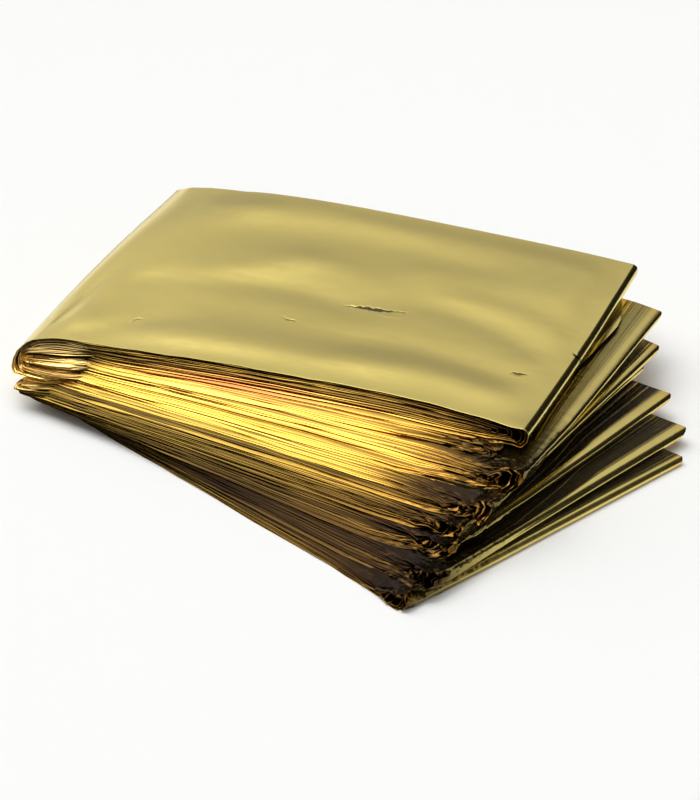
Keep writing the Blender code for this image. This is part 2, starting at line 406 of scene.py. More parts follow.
def top_relief(x, y):
    """The height of the top film's creases: each is a bell of the distance from its swaying line.

    Past the line's ends the distance counts too.
    """
    relief = np.full(x.shape, TOP_CLEAR)
    for crease in TOP_CREASES:
        run = np.array([crease.x2 - crease.x1, crease.y2 - crease.y1])
        length = np.hypot(*run)
        east, north = x / MM - crease.x1, y / MM - crease.y1
        down = (east * run[0] + north * run[1]) / length
        side = (north * run[0] - east * run[1]) / length
        past = np.maximum(np.maximum(-down, down - length), 0)
        sway = crease.width * CREASE_SWAY * np.sin(down / (crease.width * CREASE_SWAY_LENGTH))
        relief = relief + (crease.height * bell(side, sway, crease.width)
                           * bell(past, 0, CREASE_END * crease.width))
    return np.maximum(relief, TOP_LEAST) * MM


def folded_film():
    """The film's points, rows by columns, with the height of each in layers, from 0 to 15.

    A layer runs straight between its two folds, and a fold of the strip is a half circle in the
    upright plane that its films round together, each as deep as its own two heights are apart.
    """
    first, second, mix, across, bulge = film_columns()
    index, is_fold, place = film_rows()
    # metres along the strip, where a fold takes 1 mm for each radian, from 2 mm before its layer
    along = np.where(is_fold, index * LAYER_PITCH - 2 * MM + place * MM,
                     index * LAYER_PITCH + place * LAYER_LENGTH)
    depth_in = across * STRIP_WIDTH

    # how the fourteen thicknesses share the strip's thickness, from -0.5 to 0.5
    folded = np.arange(PLEATS - 1) % 2 == 0
    varied = np.where(folded, FOLDED_GAP.varied, OPEN_GAP.varied)
    weights = np.where(folded, FOLDED_GAP.usual, OPEN_GAP.usual) * np.exp(
        varied * wander(along, PLEATS - 1, GAP_WAVES, seed=3))
    heights = np.concatenate([np.zeros((len(along), 1)), np.cumsum(weights, axis=1)], axis=1)
    heights = heights / heights[:, -1:] - 0.5
    width = heights[:, first] * (1 - mix) + heights[:, second] * mix

    # how far each front fold of the pleats stands back
    set_back = SET_BACK * (1 + SET_BACK_VARIED * wander(along, NOSES, SET_BACK_WAVES, seed=5))
    set_back = np.clip(set_back + RIPPLE * wander(along, NOSES, RIPPLE_WAVES, seed=6), *SET_BACK_RANGE)
    set_back = set_back[:, first // 2] * MM

    points = np.empty((len(along), len(first), 3))
    levels = np.empty(points.shape[:2])
    # 1 for an end on the right and -1 for one on the left, and whether a layer's pleats face up
    side_of = [1 if i % 2 == 0 else -1 for i in range(len(STRIP_ENDS))]
    facing = side_of[:LAYERS]

    def shear(layer, x, share):
        """How far a film is slipped to the front or back, so that the stack's front slants.

        It goes from its layer's evened front line towards the next one by its share of the
        thickness, and the upper layers are drawn back besides.
        """
        before, end = STRIP_ENDS[layer], STRIP_ENDS[layer + 1]
        level = before.level
        lines = front_lines(x)
        own = (before.y + (end.y - before.y) * (x / MM - before.x) / (end.x - before.x)) * MM
        below, above = lines[max(level - 1, 0)], lines[min(level + 1, TOP_LEVEL)]
        slip = lines[level] - own + np.where(
            share < 0, share * (lines[level] - below), share * (above - lines[level]))
        right = max(before.x, end.x) * MM
        narrowed = NARROWED * fade(x / MM, *NARROWED_LEFT) * fade(x / MM, *NARROWED_RIGHT)
        narrowed = narrowed * (1 - across) * fade(level + share, *NARROWED_HEIGHTS)
        whole = SLIP_AT_FOLD + (1 - SLIP_AT_FOLD) * np.clip((right - x) / SLIP_REACH, 0, 1)
        return slip * whole + narrowed

    def flat_height(layer, x, y, share):
        """The height of a film in a flat layer, by its share of the thickness, from -0.5 to 0.5."""
        middle, thickness = layer_at(STRIP_ENDS[layer].level, x, y)
        return middle + share * thickness

    def droop(layer, rows):
        """How far each film's front margin sinks onto the film below it, in metres.

        It is the gap below it times a factor, plus a part of the sinking of the film below, and it
        dies away with the square of the depth.
        """
        level = STRIP_ENDS[layer].level
        gaps = np.diff(heights[rows], axis=1)[:, 1::2] * STRIP_THICKNESS
        edge = np.full((len(rows), 1), LAYER_GAP if level else 0.0)
        gaps = np.concatenate([edge, gaps] if facing[layer] > 0 else [gaps, edge], axis=1)
        order = range(NOSES) if facing[layer] > 0 else range(NOSES - 1, -1, -1)
        factor = UPPER_SUNK if level in UPPER_SUNK_LEVELS else SUNK
        sunk = np.zeros((len(rows), NOSES))
        carried = 0.0
        for nose in order:
            carried = factor * gaps[:, nose] + SUNK_CARRIED * carried
            sunk[:, nose] = carried
        return sunk[:, first // 2] * np.clip(1 - depth_in / MARGIN, 0, 1) ** 2

    def base_and_depth(i, rows):
        """Where the fold at end i begins, how deep it is, half its height and which way it points.

        The line through the end's corner is square to its turn. The films start further in by
        their nest, their place in the fold and the fold's sway.
        """
        end = STRIP_ENDS[i]
        turn = np.radians(end.turn)
        spread = set_back[rows] + (STRIP_WIDTH - set_back[rows]) * across
        line = np.stack([end.x * MM - spread * np.sin(turn), end.y * MM + spread * np.cos(turn)], -1)
        out = side_of[i] * np.array([np.cos(turn), np.sin(turn)])
        nest = np.array(FOLD_NESTS[i])
        closing = np.exp(-depth_in / NEST_REACH)
        if 0 < i < LAYERS:
            upper = layer_at(STRIP_ENDS[i - 1].level, line[..., 0], line[..., 1])[0]
            lower = layer_at(end.level, line[..., 0], line[..., 1])[0]
            half = np.abs(upper - lower) / 2
            depth = np.maximum(half, (end.depth_f + (end.depth_b - end.depth_f) * across) * MM)
            outer = facing[i - 1] * np.sign((upper - lower).mean())
            fold_spread = RIGHT_FOLD_SPREAD if side_of[i] > 0 else LEFT_FOLD_SPREAD
            sway = FOLD_SWAY * np.sin(depth_in / FOLD_SWAY_LENGTH + FOLD_SWAY_STEP * i) * (side_of[i] > 0)
            inset = (nest[::int(-outer)][first // 2] * MM * closing
                     + fold_spread * (0.5 - outer * width[rows]) + sway)
        else:
            half = depth = np.zeros(line.shape[:2])
            turned_in = FREE_CORNER * np.clip((depth_in - FREE_CORNER_FROM) / FREE_CORNER_REACH, 0, 1) ** 1.5
            inset = nest[first // 2] * MM * closing + (turned_in if i == 0 else 0.0)
        return line - (depth + inset)[..., None] * out, depth, half, out

    def place_film(rows, x, y, z, height, right, gap, slip):
        """Adds to plain points what bends and crumples them, and keeps the points."""
        y = y + slip + bulge * gap * NOSE_BULGE - np.exp(-depth_in / PUFF_DEPTH) * puff(height, x)
        amount = crushed(x, depth_in, right) * fade(height, *CRUSHED_HEIGHTS)
        shift_x, shift_y, shift_z = crumple(height, x, y, amount)
        z = z + lift(height, x, y) + shift_z
        points[rows] = np.stack([x + shift_x, y + shift_y, np.maximum(z, LEAST_HEIGHT)], -1)
        levels[rows] = height

    for layer in range(LAYERS):
        rows = np.flatnonzero(~is_fold & (index == layer))
        before, end = STRIP_ENDS[layer], STRIP_ENDS[layer + 1]
        start = base_and_depth(layer, rows)[0]
        stop = base_and_depth(layer + 1, rows)[0]
        plan = start + (stop - start) * place[rows][:, None, None]
        x, y = plan[..., 0], plan[..., 1]
        share = facing[layer] * width[rows]
        slip = shear(layer, x, share)
        thickness = layer_at(before.level, x, y)[1]
        gap = np.abs(heights[rows][:, second] - heights[rows][:, first]) * thickness
        z = flat_height(layer, x, y + slip, share) - droop(layer, rows)
        if before.level == TOP_LEVEL:
            from_ends = np.minimum(place / RELIEF_RIGHT, (1 - place) / RELIEF_LEFT)[rows] * LAYER_LENGTH
            from_sides = np.minimum(across, 1 - across) * STRIP_WIDTH / RELIEF_SIDES
            inward = np.clip(from_ends, 0, 1)[:, None] * np.clip(from_sides, 0, 1)
            inward = inward ** 2 * (3 - 2 * inward)
            z = z + np.where((first == PLEATS - 1) & (mix == 0), top_relief(x, y) * inward, 0)
        place_film(rows, x, y, z, before.level + 0.5 + share, max(before.x, end.x) * MM, gap, slip)

    for fold in range(1, LAYERS):
        rows = np.flatnonzero(is_fold & (index == fold))
        base, depth, half, out = base_and_depth(fold, rows)
        angle = place[rows][:, None]
        turned = (1 - np.cos(angle)) / 2
        both = (fold - 1, fold)
        shares = [facing[layer] * width[rows] for layer in both]
        apart = (flat_height(fold - 1, base[..., 0], base[..., 1], shares[0])
                 - flat_height(fold, base[..., 0], base[..., 1], shares[1]))
        reach = np.sin(angle) * (depth + np.abs(apart) / 2 - half)
        plan = base + reach[..., None] * out
        x, y = plan[..., 0], plan[..., 1]
        slips = [shear(layer, base[..., 0], share) for layer, share in zip(both, shares)]
        slip = slips[0] * (1 - turned) + slips[1] * turned
        thickness = layer_at(STRIP_ENDS[fold].level, x, y)[1]
        gap = np.abs(heights[rows][:, second] - heights[rows][:, first]) * thickness
        z = [flat_height(layer, x, y + slip, share) - droop(layer, rows)
             for layer, share in zip(both, shares)]
        height = [STRIP_ENDS[layer].level + 0.5 + share for layer, share in zip(both, shares)]
        place_film(rows, x, y, z[0] * (1 - turned) + z[1] * turned,
                   height[0] * (1 - turned) + height[1] * turned, max(STRIP_ENDS[fold].x, 0) * MM, gap, slip)
    return points, levels


# Painted shade on the front edges of the pleats: how much darker than bright gold they are painted, from 0 to
# 1, by the height in layers, at the left, in the middle and at the right of the stack's front. It stands in
# for the shade and dark reflections of the lower, steeper layers and of the top ones.
PaintedShade = namedtuple("PaintedShade", "height left middle right")
PAINTED_SHADE = (
    PaintedShade(0.0, 0.80, 0.72, 0.80),
    PaintedShade(0.8, 0.86, 0.86, 0.90),
    PaintedShade(1.6, 0.90, 0.98, 0.97),
    PaintedShade(3.2, 0.88, 1.0, 0.98),
    PaintedShade(4.2, 0.86, 0.98, 0.95),
    PaintedShade(6.0, 0.81, 0.90, 0.88),
    PaintedShade(8.6, 0.77, 0.80, 0.76),
    PaintedShade(9.1, 0.20, 0.15, 0.30),
    PaintedShade(9.5, 0.00, 0.00, 0.10),
    PaintedShade(12.6, 0.00, 0.00, 0.20),
    PaintedShade(13.4, 0.20, 0.15, 0.70),
    PaintedShade(14.0, 0.60, 0.60, 0.95),
    PaintedShade(15.0, 0.85, 0.90, 0.97),
)
PAINTED_SHADE_X = (-60.0, 5.0, 55.0)  # where the three columns lie, in mm

# Painted shade and painted highlight beside the left folds: the darker places past the creases, in the
# grooves and on the fold tips are painted shade, and the paler puffs are a painted highlight. Where they
# lie in mm and in layers, how far they reach, and how dark or pale they are.
PAST_CREASE_X, PAST_CREASE_REACH, PAST_CREASE_DARK = -50.0, 9.0, 0.93
PAST_CREASE_HEIGHT, PAST_CREASE_HALF = 12.2, 1.7
GROOVE_DARK_WIDTH, GROOVE_DARK = 0.16, 0.96
SMALL_PUFF_BOTTOM, SMALL_PUFF_TOP = (7.2, 7.5), 9.1
SMALL_PUFF_RIGHT, SMALL_PUFF_LEFT, SMALL_PUFF_PALER = (-57.5, -59.0), -67.0, 0.9
PAST_SMALL_X, PAST_SMALL_REACH, PAST_SMALL_DARK = -56.0, 1.6, 0.95
TIP_X, TIP_REACH, TIP_DARK = -67.0, 6.5, 0.97
TIP_PALER = (-68.0, -65.0)
PALE_RIGHT, PALE_BOTTOM, PALE_AMOUNT = (-48.0, -51.0), (8.5, 9.5), 0.9

# How far back from a front or back fold its colours reach, in mm, from where to where they grow.
EDGE_BAND = (3.9, 0.9)
PAINTED_SHADE_BAND = (7.5, 1.5)
BACK_AMOUNT = 0.35
# painted reflection: the warmer gold to the right and the orange band high in the middle
AMBER_X, AMBER_AMOUNT = (5.0, 55.0), 0.65
COPPER_X, COPPER_REACH, COPPER_HEIGHT, COPPER_AMOUNT = -8.0, 27.0, 13.1, 0.9
# painted shade on the crushed front right corners and the flats beside them: where it lies, how far it
# reaches, how dark it is
CORNER_X, CORNER_REACH, CORNER_DEPTH, CORNER_TOP, CORNER_DARK = 62.0, 18.0, 20.0, 13.2, 0.82
TOP_FILM_FROM = 14.2  # the height from which a film may be the top one, in layers

# How much the painted shade differs by chance from pleat to pleat, where it is faint and where it is
# strong, and how much it drifts along the strip, in waves with lengths in metres.
CHANCE_FAINT, CHANCE_STRONG = 0.3, 0.5
DRIFT, DRIFT_WAVES, ROW_LENGTH = 0.35, (0.06, 0.19), 4.5 * MM

FILM_GOLD = "#EBD57C"
# painted reflection: the deeper gold that light bouncing between the folded films gives their edges
EDGE_GOLD = "#FFD058"
AMBER_GOLD = "#FFB446"
# painted highlight on the puffed front edges beside the left folds
PALE_GOLD = "#FFDC88"
# painted shade: the dark brown that the front edges, creases and ribs are darkened toward
SHADE_BROWN = "#2E1F11"
COPPER = "#F59050"


def linear(code):
    """A hex sRGB colour as linear RGBA."""
    channels = np.array([int(code[i:i + 2], 16) / 255 for i in (1, 3, 5)])
    low, high = channels / 12.92, ((channels + 0.055) / 1.055) ** 2.4
    return (*np.where(channels <= 0.04045, low, high).tolist(), 1.0)


def edge_painted_shade(x, levels, small):
    """How much painted shade the front edges get, before chance.

    The table gives it by straight lines between its rows and columns. Over it goes the painted shade
    past the creases, in the grooves and on the tips of the left folds, and the small puff gets less of it.
    """
    table = np.array(PAINTED_SHADE)
    left, middle, right = [np.interp(levels, table[:, 0], table[:, i]) for i in (1, 2, 3)]
    painted_shade = (middle + (left - middle) * fade(x, PAINTED_SHADE_X[1], PAINTED_SHADE_X[0])
               + (right - middle) * fade(x, PAINTED_SHADE_X[1], PAINTED_SHADE_X[2]))
    past_crease = np.exp(-np.maximum((x - PAST_CREASE_X) / PAST_CREASE_REACH, 0)) * (x > UPPER_CREASE_X)
    past_crease = PAST_CREASE_DARK * past_crease * bell(levels, PAST_CREASE_HEIGHT, PAST_CREASE_HALF, 4)
    grooves = sum(bell(levels, groove, GROOVE_DARK_WIDTH) for groove in UPPER_GROOVES) * (x < UPPER_CREASE_X)
    tips = TIP_DARK * bell(x, TIP_X, TIP_REACH, 4) * (levels < GROUPS_PART)
    tips = tips * (1 - small * fade(x, *TIP_PALER))
    painted_shade = np.maximum.reduce([painted_shade, past_crease, GROOVE_DARK * grooves, tips])
    paler = SMALL_PUFF_PALER * small * fade(x, *SMALL_PUFF_RIGHT) * (x > SMALL_PUFF_LEFT)
    past_small = PAST_SMALL_DARK * bell(x, PAST_SMALL_X, PAST_SMALL_REACH) * small
    return np.maximum(painted_shade * (1 - paler), past_small)


def film_colours(points, levels):
    """A colour for each point: film gold, which turns to edge gold beside the pleats' folds, is
    amber to the right and coppery high in the middle, and is darkened by the table and by chance. The
    edge, amber and coppery golds are painted reflection of light bouncing between the folded films, the
    pale gold of the puffs is a painted highlight, and the darkening is painted shade.

    Each is mixed in by its amount, and the top film stays gold.
    """
    first, _, mix, across, _ = film_columns()
    x = points[..., 0] / MM
    depth_in = across * STRIP_WIDTH / MM
    small = fade(levels, *SMALL_PUFF_BOTTOM) * (levels < SMALL_PUFF_TOP)
    painted_shade = edge_painted_shade(x, levels, small)
    rng = np.random.default_rng(11)
    chance = rng.normal(0, 1.0, (LAYERS + 1, NOSES))[film_rows()[0]][:, first // 2]
    chance = chance * np.where(painted_shade < 0.5, CHANCE_FAINT, CHANCE_STRONG)
    rows = np.arange(len(points)) * ROW_LENGTH
    drift = DRIFT * wander(rows, NOSES, DRIFT_WAVES, seed=13)[:, first // 2]
    painted_shade = np.clip(1 - (1 - painted_shade) * np.exp(chance + drift), 0, 1)

    gold, edge, amber, bronze, copper, pale = [np.array(linear(code)) for code in (
        FILM_GOLD, EDGE_GOLD, AMBER_GOLD, SHADE_BROWN, COPPER, PALE_GOLD)]
    # painted reflection: the folds' edges take the deeper gold of light bouncing between the films
    front = fade(depth_in, *EDGE_BAND)
    back = BACK_AMOUNT * fade(STRIP_WIDTH / MM - depth_in, *EDGE_BAND)
    toward_amber = AMBER_AMOUNT * fade(x, *AMBER_X)
    # painted highlight: the puffed front edges beside the left folds are painted pale gold
    puffed = np.maximum(fade(x, *PALE_RIGHT) * fade(levels, *PALE_BOTTOM), small * fade(x, *SMALL_PUFF_RIGHT))
    coppery = COPPER_AMOUNT * bell(levels, COPPER_HEIGHT, 1.0) * bell(x, COPPER_X, COPPER_REACH) * front
    # painted shade on the crushed front right corners
    corner = CORNER_DARK * np.exp(-np.maximum((CORNER_X - x) / CORNER_REACH, 0) ** 2)
    corner = corner * bell(depth_in, 0, CORNER_DEPTH) * (levels < CORNER_TOP)
    # painted shade: the front edges darkened by the table and by chance, and the front right corners
    dark = np.maximum(painted_shade * fade(depth_in, *PAINTED_SHADE_BAND), corner)

    colour = gold + (edge + (amber - edge) * toward_amber[..., None] - gold) * (front + back)[:, None]
    for other, amount in ((pale, PALE_AMOUNT * puffed * front), (copper, coppery), (bronze, dark)):
        colour = colour + (other - colour) * amount[..., None]
    top_film = (levels > TOP_FILM_FROM) & (first == PLEATS - 1) & (mix == 0)
    return np.where(top_film[..., None], gold, colour)


# What lies on the right beside each fold of the strip there: the level of the flat film, the end
# that it folds at, the end of the layers above it, how ribbed the film is and how much painted shade
# lies between its ribs, and how far back from the front it is so all over, in mm.
Flat = namedtuple("Flat", "level own upper ribs bronze reach")
RIGHT_FLATS = (
    Flat(12, 0, 4, 0.35, 0.60, 8),
    Flat(11, 2, 4, 0.25, 0.45, 10),
    Flat(9, 6, 2, 0.55, 0.85, 52),
    Flat(7, 8, 6, 0.80, 0.95, 58),
    Flat(5, 10, 8, 0.95, 1.00, 60),
    Flat(3, 12, 10, 0.75, 0.95, 56),
    Flat(1, 14, 12, 0.60, 0.90, 48),
)
SHARE_RANGE = (-0.3, 1.6)
FOLD_INSET = 0.8  # how far in from the fold's line a flat begins, in mm
LEAST_FLAT = 2.0  # the least width that a flat is taken to have, in mm
ALL_OVER = 0.5  # how much nearer the upper fold it counts where it is so all over
ALL_OVER_FADE = 16  # how far from the reach that grows, in mm
ALL_OVER_FROM = (0.0, 0.12)


def flat_shares(points, levels):
    """Where each point lies from its own right fold, 0, to the one above it, 1, and two strengths.

    Both folds are straight lines from their ends' corners. Near the front the share is raised.
    """
    x, y = points[..., 0] / MM, points[..., 1] / MM
    depth_in = film_columns()[3] * STRIP_WIDTH / MM
    level_of = np.array([end.level for end in STRIP_ENDS[:-1]])[film_rows()[0]]
    shares = np.full((*x.shape, 3), (SHARE_RANGE[0], 0.0, 0.0))
    for flat in RIGHT_FLATS:
        rows = level_of == flat.level
        own, upper = [end.x - np.tan(np.radians(end.turn)) * (y[rows] - end.y)
                      for end in (STRIP_ENDS[flat.own], STRIP_ENDS[flat.upper])]
        share = np.clip((own - FOLD_INSET - x[rows]) / np.maximum(own - upper, LEAST_FLAT), *SHARE_RANGE)
        near_front = np.clip((flat.reach - depth_in) / ALL_OVER_FADE, 0, 1)
        shares[rows, :, 0] = share + ALL_OVER * near_front * fade(share, *ALL_OVER_FROM)
        shares[rows, :, 1] = flat.ribs
        shares[rows, :, 2] = flat.bronze
    return shares


def grid_mesh(name, points):
    """A mesh of the grid's cells, rows by columns, with a UV map in metres of flat film."""
    rows, columns = points.shape[:2]
    number = np.arange(rows * columns).reshape(rows, columns)
    faces = np.stack([number[:-1, :-1], number[:-1, 1:], number[1:, 1:], number[1:, :-1]], -1).reshape(-1, 4)
    mesh = bpy.data.meshes.new(name)
    mesh.vertices.add(rows * columns)
    mesh.loops.add(faces.size)
    mesh.polygons.add(len(faces))
    mesh.vertices.foreach_set("co", points.reshape(-1).astype(np.float32))
    mesh.loops.foreach_set("vertex_index", faces.reshape(-1).astype(np.int32))
    mesh.polygons.foreach_set("loop_start", np.arange(0, faces.size, 4, dtype=np.int32))
    mesh.polygons.foreach_set("loop_total", np.full(len(faces), 4, dtype=np.int32))
    mesh.polygons.foreach_set("use_smooth", np.ones(len(faces), dtype=bool))
    mesh.update(calc_edges=True)
    first, _, mix, across, _ = film_columns()
    over = np.where(first % 2 == 0, 1 - across, across)
    flat = np.empty((rows, columns, 2))
    flat[..., 0] = ((first + over + mix * NOSE_SHARE) * STRIP_WIDTH)[None, :]
    flat[..., 1] = np.linspace(0, SHEET_FLAT[1], rows)[:, None]
    layer = mesh.uv_layers.new(name="flat_film")
    layer.data.foreach_set("uv", flat.reshape(-1, 2)[faces.reshape(-1)].reshape(-1).astype(np.float32))
    return mesh


def add_values(mesh, name, kind, field, values):
    """Keeps a value for each point of a mesh as an attribute."""
    attribute = mesh.attributes.new(name, kind, "POINT")
    attribute.data.foreach_set(field, values.reshape(-1).astype(np.float32))


def add_node(tree, kind, links=(), **settings):
    """One shader node with its settings, and a link or a value for each input that is named."""
    node = tree.nodes.new(kind)
    for name, value in settings.items():
        setattr(node, name, value)
    for name, value in links:
        if isinstance(value, bpy.types.NodeSocket):
            tree.links.new(value, node.inputs[name])
        else:
            node.inputs[name].default_value = value
    return node


# Handling leaves the film crinkled, in waves of 14 mm with finer ones on them. The corners are
# crushed in facets, which on the real film go down to tenths of a millimetre. That is too fine to
# show, so they are drawn 2.4 mm wide. The lengths are in metres.
CRINKLE_LENGTH = 1 / 70
CRINKLE_STRENGTH = 0.14
CRINKLE_DEPTH = 1 * MM
CRUSH_LENGTH = 1 / 420
CRUSH_DEPTH = 0.6 * MM

# The top film's sharp little creases, finer than the grid: the ends, height and width as above.
# Each fills an ellipsoid round its line, with its middle and half its height as given below.
SHARP_CREASES = (
    Crease(-7.0, 9.2, 3.0, 12.0, -0.24, 0.9),
    Crease(-4.0, 10.2, 9.5, 13.4, -0.44, 1.5),
    Crease(3.0, 12.4, 13.5, 15.4, -0.20, 0.8),
    Crease(4.0, 9.4, 12.0, 12.4, 0.12, 0.9),
    Crease(-16.5, -4.6, -9.0, -4.0, -0.20, 0.8),
    Crease(-50.0, -27.4, -45.5, -20.3, -0.20, 0.9),
    Crease(47.0, 3.6, 54.0, 5.8, -0.24, 0.9),
    Crease(54.8, 23.5, 60.4, 20.4, -0.35, 0.8),
)
CREASE_MIDDLE_Z, CREASE_HALF_Z = 20 * MM, 12 * MM
JAG = 3 * MM  # how far from side to side the creases' outlines are jagged
# The creases are painted with shade: between these depths a crease's colour goes toward the dark brown, by
# this much.
DARK_FROM, DARK_FULL = -0.08 * MM, -0.22 * MM  # the depths between which a crease grows dark
CREASE_DARK = 0.88
CREASE_BUMP = 0.3  # how steep they are drawn, as a share of their true slope


def sharp_creases(tree, coords):
    """The height of the sharp creases: each is a smooth step from its ellipse's rim to its middle.

    A crease's mapping makes its ellipse a ball of radius one, on coordinates jagged by noise.
    """
    noise = add_node(tree, "ShaderNodeTexNoise", [
        ("Vector", coords), ("Scale", 1 / CRUSH_LENGTH), ("Detail", 1.0)])
    even = add_node(tree, "ShaderNodeVectorMath", [(0, noise.outputs["Color"]), (1, (0.5, 0.5, 0.5))],
                    operation="SUBTRACT").outputs["Vector"]
    jagged = add_node(tree, "ShaderNodeVectorMath", [(0, even), (1, (JAG, JAG, 0.0)), (2, coords)],
                      operation="MULTIPLY_ADD").outputs["Vector"]
    creased = 0.0
    for crease in SHARP_CREASES:
        run = Vector((crease.x2 - crease.x1, crease.y2 - crease.y1)) * MM
        middle = ((crease.x1 + crease.x2) / 2 * MM, (crease.y1 + crease.y2) / 2 * MM, CREASE_MIDDLE_Z)
        local = add_node(tree, "ShaderNodeMapping", [
            ("Vector", jagged), ("Location", middle), ("Rotation", (0.0, 0.0, np.arctan2(run.y, run.x))),
            ("Scale", (run.length / 2, crease.width * MM, CREASE_HALF_Z))], vector_type="TEXTURE")
        away = add_node(tree, "ShaderNodeVectorMath", [(0, local.outputs["Vector"])], operation="LENGTH")
        step = add_node(tree, "ShaderNodeMapRange", [
            ("Value", away.outputs["Value"]), ("From Min", 1.0), ("From Max", 0.0),
            ("To Max", crease.height * MM)], interpolation_type="SMOOTHSTEP")
        creased = add_node(tree, "ShaderNodeMath", [(0, step.outputs["Result"]), (1, creased)],
                           operation="ADD").outputs[0]
    return creased


# The ribs of the flats on the right are the edges of single films, which lie some tenths of a
# millimetre apart. That is too fine to show, so nine are drawn to a flat, 1 to 3 mm apart. The
# flats' two strengths, times the two other scales, give each one its own part of the noise.
RIB_SCALES = (9.0, 40.0, 60.0)
RIB_DEPTH = 1.6 * MM
RIB_DARK, RIB_BRIGHT = 0.51, 0.67  # the noise between which a rib goes from dark to bright
BESIDE_FOLD = (0.12, 0.34)  # the shares of a flat between which they begin
RIGHT_FROM, RIGHT_FULL = 30 * MM, 55 * MM  # where along x they do


def right_ribs(tree, coords):
    """The ribs' height, how strongly they are raised, and how much painted shade lies between them."""
    flat = add_node(tree, "ShaderNodeAttribute", attribute_name="right_flat").outputs["Vector"]
    share, ribbed, painted_shade = add_node(tree, "ShaderNodeSeparateXYZ", [("Vector", flat)]).outputs
    scaled = add_node(tree, "ShaderNodeMapping", [("Vector", flat), ("Scale", RIB_SCALES)])
    ribs = add_node(tree, "ShaderNodeTexNoise", [
        ("Vector", scaled.outputs["Vector"]), ("Scale", 1.0), ("Detail", 3.0)]).outputs["Fac"]
    past_fold = add_node(tree, "ShaderNodeMapRange", [
        ("Value", share), ("From Min", BESIDE_FOLD[0]), ("From Max", BESIDE_FOLD[1])],
        interpolation_type="SMOOTHSTEP").outputs["Result"]
    east = add_node(tree, "ShaderNodeSeparateXYZ", [("Vector", coords)]).outputs["X"]
    on_right = add_node(tree, "ShaderNodeMapRange", [
        ("Value", east), ("From Min", RIGHT_FROM), ("From Max", RIGHT_FULL)],
        interpolation_type="SMOOTHSTEP").outputs["Result"]
    here = add_node(tree, "ShaderNodeMath", [(0, past_fold), (1, on_right)], operation="MULTIPLY").outputs[0]
    strength = add_node(tree, "ShaderNodeMath", [(0, here), (1, ribbed)], operation="MULTIPLY").outputs[0]
    dark = add_node(tree, "ShaderNodeMapRange", [
        ("Value", ribs), ("From Min", RIB_BRIGHT), ("From Max", RIB_DARK)],
        interpolation_type="SMOOTHSTEP").outputs["Result"]
    dark = add_node(tree, "ShaderNodeMath", [(0, here), (1, dark)], operation="MULTIPLY").outputs[0]
    dark = add_node(tree, "ShaderNodeMath", [(0, dark), (1, painted_shade)], operation="MULTIPLY").outputs[0]
    return ribs, strength, dark


def film_material():
    """Gold metallised polyester film: aluminium vapour on a gold-tinted clear film.

    A bare metal gives the mirror, and its base colour the gold, with painted shade and painted
    reflection mixed into it. The slight roughness and the crinkles blur what it mirrors.
    """
    material = bpy.data.materials.new("gold_metallised_film")
    material.use_nodes = True
    tree = material.node_tree
    tree.nodes.clear()
    coords = add_node(tree, "ShaderNodeTexCoord").outputs["Object"]
    gold = add_node(tree, "ShaderNodeAttribute", attribute_name="gold_and_painted_light").outputs["Color"]
    bronze = linear(SHADE_BROWN)
    crinkle = add_node(tree, "ShaderNodeTexNoise", [
        ("Vector", coords), ("Scale", 1 / CRINKLE_LENGTH), ("Detail", 3.0)]).outputs["Fac"]
    normal = add_node(tree, "ShaderNodeBump", [
        ("Height", crinkle), ("Strength", CRINKLE_STRENGTH), ("Distance", CRINKLE_DEPTH)]).outputs["Normal"]
    creased = sharp_creases(tree, coords)
    normal = add_node(tree, "ShaderNodeBump", [
        ("Height", creased), ("Strength", 1.0), ("Distance", CREASE_BUMP),
        ("Normal", normal)]).outputs["Normal"]
    facets = add_node(tree, "ShaderNodeTexNoise", [
        ("Vector", coords), ("Scale", 1 / CRUSH_LENGTH), ("Detail", 1.0)]).outputs["Fac"]
    corner = add_node(tree, "ShaderNodeAttribute", attribute_name="crushed").outputs["Fac"]
    normal = add_node(tree, "ShaderNodeBump", [
        ("Height", facets), ("Strength", corner), ("Distance", CRUSH_DEPTH),
        ("Normal", normal)]).outputs["Normal"]
    ribs, strength, dark = right_ribs(tree, coords)
    normal = add_node(tree, "ShaderNodeBump", [
        ("Height", ribs), ("Strength", strength), ("Distance", RIB_DEPTH),
        ("Normal", normal)]).outputs["Normal"]
    # painted shade between the ribs of the right flats
    gold = add_node(tree, "ShaderNodeMix", [(0, dark), (6, gold), (7, bronze)], data_type="RGBA").outputs[2]
    # painted shade in the troughs of the sharp creases
    sunk = add_node(tree, "ShaderNodeMapRange", [
        ("Value", creased), ("From Min", DARK_FROM), ("From Max", DARK_FULL), ("To Max", CREASE_DARK)],
        interpolation_type="SMOOTHSTEP").outputs["Result"]
    gold = add_node(tree, "ShaderNodeMix", [(0, sunk), (6, gold), (7, bronze)], data_type="RGBA").outputs[2]
    shader = add_node(tree, "ShaderNodeBsdfPrincipled", [
        ("Base Color", gold), ("Metallic", 1.0), ("Roughness", 0.2), ("Normal", normal)])
    add_node(tree, "ShaderNodeOutputMaterial", [("Surface", shader.outputs["BSDF"])])
    return material


# how the crushed look of the corners in the material differs from the crumpled shape: it lies
# round one x, reaches further back, and has its own top, in layers
CRUSHED_LOOK_X = 66 * MM
CRUSHED_LOOK_REACH = 1.5
CRUSHED_LOOK_TOP = 14.3

